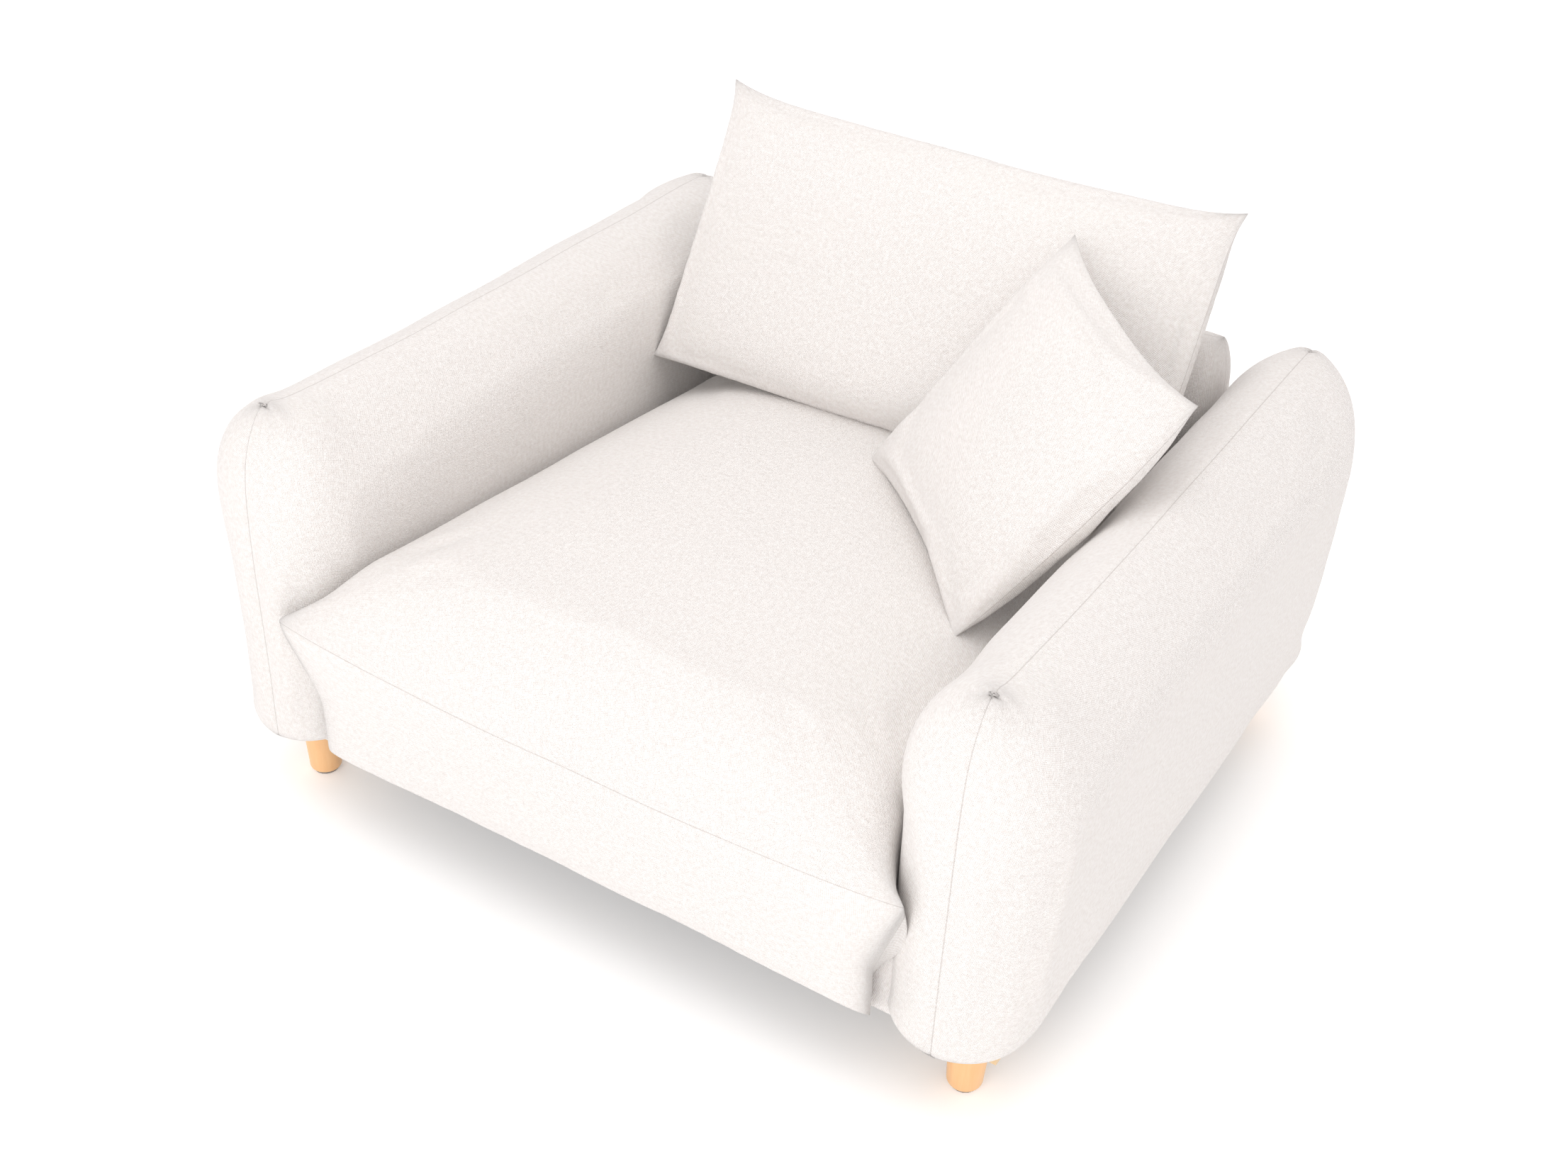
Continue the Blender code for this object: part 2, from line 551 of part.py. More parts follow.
def make_seat_pad():
    cover = make_object("seat_pad_cover", pad_body(), "cover")
    cut(cover, make_cutter("seat_pad_cover_hollow", pad_body(PAD_COVER_THICK, PAD_COVER_THICK)))
    slot = block((-SEAT_ZIP_HALF_LENGTH, PAD_REAR - 0.01, SEAT_ZIP_Z - ZIP_OPENING / 2),
                 (SEAT_ZIP_HALF_LENGTH, PAD_REAR + 0.01, SEAT_ZIP_Z + ZIP_OPENING / 2))
    cut(cover, make_cutter("seat_pad_zip_slot", slot))

    filling_inset, floor_inset = PAD_COVER_THICK + STUFFING_GAP, PAD_COVER_THICK + LAYER_GAP
    wrap = make_object("seat_pad_fibre_wrap", pad_body(filling_inset, floor_inset), "fibre")
    core_front, core_rear = PAD_CROWN_FRONT_Y - 0.030, PAD_REAR - filling_inset - WRAP_THICK
    core_half_width = PAD_HALF_WIDTH - filling_inset - TOUCH_GAP
    core_low, core_high = PAD_UNDERSIDE + floor_inset + WRAP_THICK, PAD_UNDERSIDE + PAD_SIDE_REAR - 0.012
    tunnel = block((-0.6, core_front, core_low), (0.6, core_rear, core_high))
    cut(wrap, make_cutter("seat_pad_wrap_tunnel", tunnel))
    core = block((-core_half_width, core_front + TOUCH_GAP, core_low + TOUCH_GAP),
                 (core_half_width, core_rear - TOUCH_GAP, core_high - TOUCH_GAP))
    make_object("seat_pad_foam_core", core, "foam")


# ---------------------------------------------------------------- loose cushions

def cushion_body(corners, bulges, sides_in, steps, inset=0.0, limit=None):
    """Knife-edge cushion on four seam corners (low left, low right, high right, high left), whose sides
    pull in between the corners. bulges are its front and rear heights above the seam's surface, and
    limit moves a point that would reach into what the cushion rests on."""
    low_left, low_right, high_right, high_left = (Vector(corner) for corner in corners)
    half_u = (low_right - low_left).length / 2
    half_v = (high_left - low_left).length / 2
    normal = (low_right - low_left).cross(high_left - low_left).normalized()
    bm = bmesh.new()
    for sign, bulge in zip((1, -1), bulges):
        for vert in panel_grid(bm, *steps):
            u, v = towards_ends(vert.co.x, 1.5), towards_ends(vert.co.y, 1.5)
            u_in = u * (1 - sides_in * (1 - v * v)) * (1 - inset * SEAM_DEPTH / half_u)
            v_in = v * (1 - sides_in * (1 - u * u)) * (1 - inset * SEAM_DEPTH / half_v)
            low = low_left.lerp(low_right, (1 + u_in) / 2)
            high = high_left.lerp(high_right, (1 + u_in) / 2)
            height = max(bulge - inset, 0) * ((1 - abs(u) ** 2.6) * (1 - abs(v) ** 2.6)) ** 0.5
            point = low.lerp(high, (1 + v_in) / 2) + sign * height * normal
            vert.co = limit(point, inset) if limit and max(abs(u), abs(v)) < 1 else point
    bmesh.ops.remove_doubles(bm, verts=bm.verts, dist=0.00005)
    return bm


def back_cushion_limit(point, inset):
    """Flat towards the back rest, and free to lie back above its top."""
    rear = BACK_CUSHION_REAR_Y - inset + max(0.0, point.z - BACK_TOP - 0.02) * 1.4
    return Vector((point.x, min(point.y, rear), point.z))


def back_cushion_body(inset=0.0, floor_inset=0.0):
    """Cushion leaning on the back rest, cut flat where it stands on the seat pad."""
    y_low, z_low = BACK_CUSHION_LOW
    y_top, z_top = BACK_CUSHION_TOP
    corners = [(-BACK_CUSHION_HALF_WIDTH, y_low, z_low), (BACK_CUSHION_HALF_WIDTH, y_low, z_low),
               (BACK_CUSHION_HALF_WIDTH, y_top, z_top), (-BACK_CUSHION_HALF_WIDTH, y_top, z_top)]
    bulges = (BACK_CUSHION_FRONT_BULGE, BACK_CUSHION_REAR_BULGE)
    bm = cushion_body(corners, bulges, CUSHION_SIDES_IN, (12, 9), inset, back_cushion_limit)
    return flatten_below(bm, BACK_CUSHION_FLOOR + floor_inset)


def make_back_cushion():
    cover = make_object("back_cushion_cover", back_cushion_body(), "cover")
    cut(cover, make_cutter("back_cushion_cover_hollow", back_cushion_body(PAD_COVER_THICK, PAD_COVER_THICK)))
    slot = block((-BACK_ZIP_HALF_LENGTH, BACK_CUSHION_REAR_Y - 0.01, BACK_ZIP_Z - ZIP_OPENING / 2),
                 (BACK_ZIP_HALF_LENGTH, BACK_CUSHION_REAR_Y + 0.01, BACK_ZIP_Z + ZIP_OPENING / 2))
    cut(cover, make_cutter("back_cushion_zip_slot", slot))
    filling = back_cushion_body(PAD_COVER_THICK + STUFFING_GAP, PAD_COVER_THICK + LAYER_GAP)
    make_object("back_cushion_fill", filling, "fibre")


def pillow_corners():
    stand = Vector((0, 0, pad_top(*PILLOW_STANDS_AT)))
    return [stand + Vector(corner)
            for corner in (PILLOW_LOW_BACK, PILLOW_LOW_FRONT, PILLOW_HIGH_FRONT, PILLOW_HIGH_BACK)]


def pillow_body(inset=0.0):
    return cushion_body(pillow_corners(), (PILLOW_BULGE, PILLOW_BULGE), PILLOW_SIDES_IN, (8, 8), inset)


def make_throw_pillow():
    """The cover closes with an overlapped slit across its rear panel."""
    cover = make_object("throw_pillow_cover", pillow_body(), "cover")
    cut(cover, make_cutter("throw_pillow_cover_hollow", pillow_body(PAD_COVER_THICK)))
    corners = pillow_corners()
    middle = sum(corners, Vector()) / 4
    across = (corners[1] - corners[0]).normalized()
    normal = (corners[1] - corners[0]).cross(corners[3] - corners[0]).normalized()
    up = normal.cross(across)
    place = Matrix((across, up, normal)).transposed().to_4x4()
    place.translation = middle
    slit = block((-PILLOW_SLIT_HALF_LENGTH, -PILLOW_SLIT_BELOW - PILLOW_SLIT_WIDTH, -PILLOW_BULGE - 0.02),
                 (PILLOW_SLIT_HALF_LENGTH, -PILLOW_SLIT_BELOW, 0))
    bmesh.ops.transform(slit, matrix=place, verts=slit.verts)
    cut(cover, make_cutter("throw_pillow_slit", slit))
    make_object("throw_pillow_insert", pillow_body(PAD_COVER_THICK + LAYER_GAP), "fibre")


# ---------------------------------------------------------------- zips

def make_zip(prefix, half_length, face_y, z):
    """Zip along x on a flat rear face: the tape in its slot, the slider at the closed end, and its pull,
    which lies along the tape and swings about the slider's upright pin."""
    gap = 2 * TOUCH_GAP
    tape_rear = face_y - 0.0002
    tape = block((-half_length + gap, tape_rear - ZIP_TAPE_THICK, z - ZIP_OPENING / 2 + gap),
                 (half_length - gap, tape_rear, z + ZIP_OPENING / 2 - gap))
    make_object(f"{prefix}_zip_tape", tape, "cloth")

    slider_x = -half_length + SLIDER_END_MARGIN + SLIDER_LENGTH / 2
    slider_front = face_y + TOUCH_GAP
    slider = block((-SLIDER_LENGTH / 2, slider_front - face_y, -SLIDER_WIDTH / 2),
                   (SLIDER_LENGTH / 2, slider_front - face_y + SLIDER_THICK, SLIDER_WIDTH / 2))
    slider = make_object(f"{prefix}_zip_slider", slider, "zip_metal", (slider_x, face_y, z))
    bevelled(slider, 0.0011, 1)

    pull_y = slider_front + SLIDER_THICK + PULL_GAP + PULL_THICK / 2
    pull = block((-PULL_THICK / 2, -PULL_THICK / 2, -PULL_WIDTH / 2),
                 (PULL_LENGTH, PULL_THICK / 2, PULL_WIDTH / 2))
    bmesh.ops.bevel(
        pull, geom=[e for e in pull.edges if abs(e.verts[0].co.y - e.verts[1].co.y) > PULL_THICK / 2],
        offset=0.0022, segments=2, affect="EDGES", profile=0.5)
    make_object(f"{prefix}_zip_pull", pull, "zip_metal", (slider_x, pull_y, z))


make_feet()
make_base()
make_dust_cloth()
make_deck()
make_arms()
make_back_rest()
make_seat_pad()
make_back_cushion()
make_throw_pillow()
make_zip("seat", SEAT_ZIP_HALF_LENGTH, PAD_REAR, SEAT_ZIP_Z)
make_zip("back", BACK_ZIP_HALF_LENGTH, BACK_CUSHION_REAR_Y, BACK_ZIP_Z)
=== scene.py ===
"""Looks of a low upholstered lounge armchair with a lift-out seat pad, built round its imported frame.

Metres, +Z up, the front of the chair faces -Y. Every cover is cut as panels, sewn at their edges, filled
under pressure as cloth, and then given its seams and gathers.
"""
import json
import math

import bmesh
import bpy
import numpy as np
from mathutils import Matrix, Vector, noise


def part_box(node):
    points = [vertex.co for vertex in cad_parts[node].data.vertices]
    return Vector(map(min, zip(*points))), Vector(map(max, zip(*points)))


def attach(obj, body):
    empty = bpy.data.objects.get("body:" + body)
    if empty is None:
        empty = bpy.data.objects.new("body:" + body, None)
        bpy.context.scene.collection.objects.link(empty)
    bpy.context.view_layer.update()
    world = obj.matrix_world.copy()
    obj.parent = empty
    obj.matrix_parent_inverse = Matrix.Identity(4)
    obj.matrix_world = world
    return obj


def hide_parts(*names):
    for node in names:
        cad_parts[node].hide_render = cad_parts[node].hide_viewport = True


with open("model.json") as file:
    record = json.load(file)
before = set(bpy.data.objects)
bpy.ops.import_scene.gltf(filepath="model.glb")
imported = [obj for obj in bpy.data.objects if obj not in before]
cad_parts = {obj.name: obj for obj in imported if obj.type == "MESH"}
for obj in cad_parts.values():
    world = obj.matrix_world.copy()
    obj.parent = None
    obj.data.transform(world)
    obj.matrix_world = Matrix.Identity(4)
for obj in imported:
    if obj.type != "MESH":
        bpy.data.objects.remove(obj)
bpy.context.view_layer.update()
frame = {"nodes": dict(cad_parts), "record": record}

# Camera
CAMERA_PLACE = Vector((1.0393, -1.8079, 1.6909))
CAMERA_AZIMUTH = 30.5
CAMERA_ELEVATION = 34.5
CAMERA_ROLL = 2.865
CAMERA_LENS = 43.6

# Cutting and sewing
EDGE_CROWDING = 1.4         # a cushion's panels have closer rows towards their edges
SEAM_GROOVE = 0.0012        # how deep a sewn seam draws the cover in
SEAM_GROOVE_WIDTH = 0.0045
SEAM_SHADE_WIDTH = 0.0011   # width of the painted shade along the stitched seam
GATHER_DEPTH = 0.0010       # small gathers along a seam
GATHER_REACH = 0.020
GATHER_SIZE = 0.015
HAND_DEPTH = 0.0020         # broad unevenness of a filled cover
HAND_SIZE = 0.15
PUCKER_DENT = 0.007         # a pinched corner is drawn in this far
PUCKER_DENT_REACH = 0.010
GATHER_START = 0.004        # no gathers closer to the seam than this
LEAST_GATHER = 0.03         # share of the full gathers that is still worth adding
PUCKER_CREASES = 8
PUCKER_TWIST = 60           # creases turn with the distance from the seam plane
PUCKER_FALL = 1.5           # how abruptly creases end at their reach

# Filling the covers: pressure, the most that a point may move, and how much longer the cloth is cut
FILLINGS = {
    "arm": (3.0, 0.006, 0.004),
    "back_rest": (2.0, 0.004, 0.004),
    "seat_pad": (2.5, 0.004, 0.003),
    "back_cushion": (4.0, 0.007, 0.005),
    "throw_pillow": (4.0, 0.007, 0.006),
}
CLOTH_STIFFNESS = 25.0      # against stretching, and half of it against shear
CLOTH_BENDING = 1.5
CLOTH_MASS = 0.3
CLOTH_QUALITY = 5
CLOTH_AIR_DAMPING = 5
SETTLE_FRAMES = 20
EASE_ROUNDS = 5             # how often each point's movement is averaged with its neighbours'
ON_SEAM = 1e-5              # a point nearer to a seam than this is on it

# Columns and rows of each panel
GRIDS = {"arm": (120, 68), "back_rest": (92, 60), "back_cushion": (90, 56), "throw_pillow": (64, 64)}
PAD_COLUMNS = 96
PAD_ROWS = {"rear": 10, "top": 72, "roll": 22, "apron": 26}

# Arms and back rest: outlines of the filled walls
WALL_FRONT_ROUND = 0.075    # depth over which the front end rounds off, seen from above
WALL_REAR_ROUND = 0.125     # and the rear end
WALL_END_POWER = 2.5        # higher is squarer
WALL_TOP_ROUND = 0.140      # height over which the sides roll over the top
WALL_TOP_POWER = 2.35
WALL_FOOT_ROUND = 0.016     # radius of the hem's edge
WALL_FOOT_IN = 0.006        # how much thinner each side is at the hem than at the belly
WALL_FOOT_LIFT = 0.0015     # the cover's underside above the base's
ARM_EAR = 0.020             # how far the seam rises towards the front top corner
ARM_REAR_EAR = 0.002
EAR_END_POWER = 4.5         # how abruptly the seam rises along the wall and up its end
EAR_TOP_POWER = 4
ARM_CORNER_IN = 0.046       # how far the top corners lie back from the ends
CORNER_IN_POWER = 12
ARM_PUCKERS = ((-1, 0.040, 0.0030), (1, 0.032, 0.0020))  # end, and its creases' reach and depth
BACK_REST_CORNER_IN = 0.016
BACK_REST_END_ROUND = 0.045
BACK_REST_EAR = 0.006
FACING_RUN_IN = 0.050       # how far the rail's facing runs in behind each arm
FACING_EDGE = 0.0004

# Seat pad
PAD_SEAM_RISE = 0.2045      # front seam above the apron's hem, at its ears
PAD_SEAM_SAG = 0.014        # how far it hangs in the middle
PAD_SIDE_FRONT = 0.052      # the crown above the pad's sides, at the front and rear
PAD_SIDE_REAR = 0.104
PAD_CROWN_REAR_DROP = 0.030 # how much lower the crown is at the rear than at the front
PAD_ROUND = 2.4             # power of the crown from side to side
PAD_ROLL = 0.110            # depth over which the top rolls down to the front seam
PAD_REAR_ROUND = 0.05       # depth over which the rear edge rounds off
PAD_UNDER_IN = 0.02         # how much deeper than the top's the underside's rows lie
PAD_NOSE_EASE = 0.010       # how far the nose draws back at its sides
PAD_EAR = 0.057             # how far the front seam's ends stand out beside the pad
PAD_EAR_ROWS = 11
PAD_EAR_FALL = 1.4
PAD_SEAM_ROWS = 9           # rows over which a side's two panels come together at the front seam
PAD_SIDE_POWER = 18         # how squarely the pad's sides close
PAD_HEM_FLARE = 0.015       # how much wider than the pad its apron stays down to the hem
APRON_THICK = 0.0285
APRON_DEEP = 0.0879         # from the pad's underside down to the apron's hem
APRON_SET_BACK = 0.020      # the apron's hem behind the pad's nose
APRON_HANG = 1.3            # how soon the apron falls back below the front seam
HEM_ROUND_FROM = 0.90       # share of the apron's height at which its hem starts to round off

# Loose cushions
CUSHION_ROUND = 2.6         # power of a cushion's crown between its edges
CUSHION_LOW_SEAM_BACK = 0.022   # lower seam behind the back cushion's front
CUSHION_LOW_SEAM_DROP = 0.002
CUSHION_HIGH_SEAM_BACK = 0.020  # upper seam behind the back rest's front
CUSHION_BULGES = (0.060, 0.125)  # front and rear
CUSHION_EDGES_IN = (0.030, 0.030, 0.004, 0.085)
CUSHION_EDGE_POWER = 6
CUSHION_FOOT_POWER = 6.0
CUSHION_REST_GAP = 0.001    # the cushion starts this far above the pad, before both are filled
CUSHION_SINK = 0.006        # it reaches at most this far below its CAD box
CUSHION_BACK_GAP = 0.029    # its flat back in front of the back rest's front
CUSHION_LEAN_BELOW = 0.01   # it leans back over the rest from this far above the rest's top
CUSHION_LEAN = 1.4
PILLOW_SEAM_CORNERS = ((0, 0.62, 0.048), (0.608, 0, 0), (1, 0.386, 0.924), (0.394, 1, 1))
PILLOW_BULGES = (0.066, 0.062)
PILLOW_EDGES_IN = (0.10, -0.06, 0.10, 0.10)
PILLOW_EDGE_POWER = 2.6
PILLOW_TOP_OUT = 0.05       # how much further out the pillow's light upper corners stand, as a share
PILLOW_ARM_GAP = 0.002

# Feet
FOOT_TIP_RADIUS = 0.021
FOOT_TIP_EDGE = 0.004
FOOT_TIP_EDGE_STEPS = 4
FOOT_TOP_EDGE = 0.001
FOOT_TAPER_END = 0.0002     # how much thicker than its tip the foot is where the tip's edge starts
FOOT_TURNS = 64
FOOT_SHARP_ANGLE = 50

# Cover fabric
THREAD = 0.0030             # width of one slubbed thread
THREAD_SLANT = 0.55
COVER_DARK, COVER_LIGHT = (0.935, 0.914, 0.897), (0.962, 0.947, 0.932)
HOLLOW_PAINTED_SHADE = (0.72, 0.66, 0.62)  # painted shade between the threads
# painted shade in the stitched seams, darkest on the seam line
PAINTED_SEAM_SHADE = (0.42, 0.37, 0.34)
SEAM_SHADE_START = 0.0003
SEAM_SHADE = 0.45

# Studio
WORLD_COLOUR, WORLD_STRENGTH = (1.0, 0.970, 0.962, 1), 0.94
FLOOR_SIZE = 14
FLOOR_DARK, FLOOR_LIGHT = (0.93, 0.93, 0.93), (0.95, 0.95, 0.95)
FLOOR_GLOW = 0.24           # the ground's own light, which washes out most of the shadow
LAMPS = (                   # name, place, aim, diameter, power
    ("key", (0.5, -3.6, 2.2), (0, 0, 0.35), 2.4, 32),
    ("top", (0.2, -0.6, 3.4), (0, 0, 0.3), 2.6, 25),
)

SIDES = ("left", "right")
ENDS = ("front", "rear")


# ---------------------------------------------------------------- materials

class Signal:
    """A shader socket that takes part in Python arithmetic."""

    def __init__(self, finish, socket):
        self.finish, self.socket = finish, socket

    def math(self, operation, first, second=0.0):
        return self.finish.add("ShaderNodeMath", {"operation": operation}, {0: first, 1: second})

    def __add__(self, other):
        return self.math("ADD", self, other)

    def __mul__(self, other):
        return self.math("MULTIPLY", self, other)

    def __sub__(self, other):
        return self.math("SUBTRACT", self, other)

    def __rsub__(self, other):
        return self.math("SUBTRACT", other, self)

    __radd__ = __add__

    def sine(self):
        return self.math("SINE", self)


class Finish:
    """A material under construction on a Principled shader."""

    def __init__(self, name, roughness, metallic=0.0, sheen=0.0):
        self.material = bpy.data.materials.new(name)
        self.material.use_nodes = True
        self.nodes = self.material.node_tree.nodes
        self.shader = self.nodes["Principled BSDF"]
        self.shader.inputs["Roughness"].default_value = roughness
        self.shader.inputs["Metallic"].default_value = metallic
        self.shader.inputs["Sheen Weight"].default_value = sheen

    def add(self, kind, settings=None, sockets=None, output=0):
        """Signal of a new node of this kind, with its settings and then its sockets' values or links."""
        node = self.nodes.new(kind)
        for key, value in (settings or {}).items():
            setattr(node, key, value)
        for key, value in (sockets or {}).items():
            self.wire(value, node.inputs[key])
        return Signal(self, node.outputs[output])

    def wire(self, value, socket):
        if isinstance(value, Signal):
            self.material.node_tree.links.new(value.socket, socket)
        else:
            socket.default_value = value

    def noise(self, place, scale, detail=2.0, roughness=0.5):
        return self.add("ShaderNodeTexNoise", None,
                        {"Vector": place, "Scale": scale, "Detail": detail, "Roughness": roughness})

    def mix(self, fraction, first, second):
        """Colour between two colours, each an RGB triple or a signal."""
        mixed = self.add("ShaderNodeMix", {"data_type": "RGBA"}, {0: fraction}, 2)
        for key, value in ((6, first), (7, second)):
            if not isinstance(value, Signal):
                value = (*value, 1)
            self.wire(value, mixed.socket.node.inputs[key])
        return mixed

    def colour(self, value):
        self.wire(value, self.shader.inputs["Base Color"])

    def relief(self, height, depth, strength):
        """Adds the surface's relief, which ends the material, and gives the material."""
        bump = self.add("ShaderNodeBump", None, {"Strength": strength, "Distance": depth, "Height": height})
        self.wire(bump, self.shader.inputs["Normal"])
        return self.material


def object_place(finish):
    return finish.add("ShaderNodeTexCoord", output="Object")


def split_place(finish, place):
    """Signals of the first two coordinates of a place."""
    split = finish.add("ShaderNodeSeparateXYZ", None, {0: place})
    return [Signal(finish, split.socket.node.outputs[i]) for i in (0, 1)]


def cover_weave(name):
    """Off-white slubbed cloth: a basket weave of uneven threads on the panel's own cut, with painted shade
    between the threads and along the stitched seams."""
    finish = Finish(name, 0.92, sheen=0.2)
    cut = finish.add("ShaderNodeUVMap", {"uv_map": "cut"})
    sway = finish.noise(cut, 42, 2)
    wander = finish.noise(cut, 260, 1)
    along, up = split_place(finish, cut)
    turns = 2 * math.pi / THREAD
    warp = ((along + up * THREAD_SLANT) * turns + sway * 5 + wander * 2.4).sine()
    weft = ((up - along * THREAD_SLANT) * turns + sway * 4 - wander * 2.2).sine()
    slub = finish.noise(cut, 170, 3, 0.7)
    threads = warp * weft * 0.35 + slub * 1.3
    seam = finish.add("ShaderNodeAttribute", {"attribute_name": "seam"}, output="Fac")
    # painted shade along each seam, strongest on the seam line and fading over its width
    off_seam = finish.add("ShaderNodeMapRange", None, {0: seam, 1: SEAM_SHADE_START, 2: SEAM_SHADE_WIDTH})
    seam_shade_mask = 1 - off_seam
    mottled = finish.mix(finish.noise(cut, 30, 4, 0.6), COVER_DARK, COVER_LIGHT)
    # painted shade in the weave's low places between the threads
    hollow_shade = finish.add("ShaderNodeMapRange", None, {0: threads, 1: 0.95, 2: 0.25, 4: 0.75})
    shaded = finish.mix(hollow_shade, mottled, HOLLOW_PAINTED_SHADE)
    finish.colour(finish.mix(seam_shade_mask * SEAM_SHADE, shaded, PAINTED_SEAM_SHADE))
    return finish.relief(threads, 0.0014, 0.8)


def turned_wood(name, light, dark, grain):
    """Straight-grained wood, with the grain along Z and a satin varnish."""
    finish = Finish(name, 0.38)
    stretched = finish.add("ShaderNodeMapping", None, {"Vector": object_place(finish), "Scale": (1, 1, 0.06)})
    rings = finish.noise(stretched, grain, 6, 0.62)
    pores = finish.noise(stretched, grain * 9, 2)
    finish.colour(finish.mix(rings + (pores - 0.5) * 0.35, dark, light))
    finish.wire(0.34 + rings * 0.16, finish.shader.inputs["Roughness"])
    return finish.relief(rings * 0.6 + pores * 0.4, 0.0002, 0.3)


def plain_weave(name, colour, shade, thread):
    """Flat woven cloth or webbing, on object coordinates along X and Y."""
    finish = Finish(name, 0.9)
    place = object_place(finish)
    along, up = split_place(finish, place)
    turns = 2 * math.pi / thread
    threads = (along * turns).sine() * (up * turns).sine() * 0.5 + finish.noise(place, 90, 3) * 0.7
    finish.colour(finish.mix(threads, shade, colour))
    return finish.relief(threads, 0.0005, 0.5)


def grained(name, colour, shade, scale, roughness, depth, metallic=0.0):
    """Foam, felt, fibre or plated metal: an even grain of one size."""
    finish = Finish(name, roughness, metallic)
    place = object_place(finish)
    grain = finish.noise(place, scale, 4, 0.65)
    finish.colour(finish.mix(grain, shade, colour))
    finish.wire(roughness + (grain - 0.5) * 0.2, finish.shader.inputs["Roughness"])
    return finish.relief(grain, depth, 0.5)


FINISHES = {
    "cover_fabric": cover_weave("cover_fabric"),
    "foam": grained("upholstery_foam", (0.93, 0.86, 0.62), (0.80, 0.70, 0.42), 420, 0.9, 0.0006),
    "fibre": grained("fibre_filling", (0.95, 0.95, 0.95), (0.82, 0.82, 0.83), 160, 0.95, 0.0015),
    "timber": turned_wood("planed_timber", (0.78, 0.58, 0.35), (0.60, 0.40, 0.20), 55),
    "plywood": turned_wood("plywood", (0.82, 0.66, 0.46), (0.68, 0.50, 0.31), 40),
    "foot_wood": turned_wood("beech", (0.93, 0.60, 0.32), (0.84, 0.46, 0.20), 75),
    "webbing": plain_weave("elastic_webbing", (0.42, 0.40, 0.37), (0.25, 0.24, 0.22), 0.004),
    "deck_cloth": plain_weave("calico", (0.86, 0.84, 0.79), (0.74, 0.71, 0.65), 0.002),
    "dust_cloth": grained("spunbond_lining", (0.05, 0.05, 0.05), (0.02, 0.02, 0.02), 700, 0.95, 0.0003),
    "felt": grained("pressed_felt", (0.34, 0.31, 0.28), (0.22, 0.20, 0.18), 800, 0.97, 0.0006),
    "steel": grained("zinc_plate", (0.66, 0.67, 0.68), (0.55, 0.56, 0.57), 300, 0.35, 0.0001, 1.0),
    "zip_metal": grained("nickel_plate", (0.74, 0.72, 0.68), (0.64, 0.62, 0.58), 500, 0.28, 0.00005, 1.0),
    "zip_tape": plain_weave("zip_tape", (0.90, 0.87, 0.82), (0.78, 0.74, 0.68), 0.001),
}


def dress_frame():
    """Gives every CAD node the finish of its slot."""
    for part in frame["record"]["subparts"]:
        node = frame["nodes"][part["node"]]
        node.data.materials.clear()
        node.data.materials.append(FINISHES[part["material_slot"]])


# ---------------------------------------------------------------- making pieces

def make_piece(name, bm, body, finish, replaced):
    """A piece from a bmesh, which is freed. It rides a body and stands in for the replaced nodes."""
    bmesh.ops.recalc_face_normals(bm, faces=bm.faces)
    mesh = bpy.data.meshes.new(name)
    bm.to_mesh(mesh)
    bm.free()
    mesh.shade_smooth()
    mesh.materials.append(FINISHES[finish])
    piece = bpy.data.objects.new(name, mesh)
    bpy.context.scene.collection.objects.link(piece)
    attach(piece, body)
    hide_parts(*replaced)
    return piece


def crowd(step):
    """Turns an even step from -1 to 1 into one that crowds towards both ends."""
    return math.copysign(1 - (1 - abs(step)) ** EDGE_CROWDING, step)


def share(value, low, high):
    """How far a value is from low to high, from 0 to 1."""
    return min(1.0, max(0.0, (value - low) / (high - low)))


def lengths_along(points):
    """Distance of each point from the first, along them all."""
    total = [0.0]
    for first, second in zip(points, points[1:]):
        total.append(total[-1] + (Vector(second) - Vector(first)).length)
    return total


def evenly(outline, steps):
    """Points spaced evenly along an outline given by close points."""
    along = lengths_along(outline)
    wanted = np.linspace(0, along[-1], steps + 1)
    return list(zip(*(np.interp(wanted, along, values) for values in zip(*outline))))


def quarter(power, steps=24):
    """(rising, falling) pairs round a quarter of a superellipse, from (0, 1) to (1, 0)."""
    turns = (math.pi / 2 * step / steps for step in range(steps + 1))
    return [(max(0.0, math.sin(turn)) ** (2 / power), max(0.0, math.cos(turn)) ** (2 / power))
            for turn in turns]


def sewn_panels(across, up, place, inner_seam=None):
    """bmesh of two panels sewn along all four edges. place(u, v, side) gives a point from grid places
    between -1 and 1 on side 1 or -1. inner_seam is a row of side 1 that is a seam too. The panels keep
    their cut as a UV map in metres, and each point its distance from the nearest seam."""
    bm = bmesh.new()
    cut = bm.loops.layers.uv.new("cut")
    seam = bm.verts.layers.float.new("seam")
    for side in (1, -1):
        width = lengths_along([place(2 * i / across - 1, 0, side) for i in range(across + 1)])
        height = lengths_along([place(0, 2 * j / up - 1, side) for j in range(up + 1)])
        grid = bmesh.ops.create_grid(bm, x_segments=across, y_segments=up, size=1)["verts"]
        spots = {vert: (round((vert.co.x + 1) / 2 * across), round((vert.co.y + 1) / 2 * up))
                 for vert in grid}
        for face in {face for vert in grid for face in vert.link_faces}:
            for loop in face.loops:
                i, j = spots[loop.vert]
                loop[cut].uv = ((width[i] - width[-1] / 2) * side, height[j] - height[-1] / 2)
        for vert, (i, j) in spots.items():
            edges = [width[i], width[-1] - width[i], height[j], height[-1] - height[j]]
            if inner_seam is not None and side > 0:
                edges.append(abs(height[j] - height[inner_seam]))
            vert[seam] = min(edges)
            vert.co = place(vert.co.x, vert.co.y, side)
    bmesh.ops.remove_doubles(bm, verts=bm.verts, dist=0.0001)
    return bm


def points_of(mesh):
    flat = np.empty(len(mesh.vertices) * 3, np.float32)
    mesh.vertices.foreach_get("co", flat)
    return flat.reshape(-1, 3).astype(float)


def evaluated_mesh(piece):
    graph = bpy.context.evaluated_depsgraph_get()
    return bpy.data.meshes.new_from_object(piece.evaluated_get(graph), depsgraph=graph)


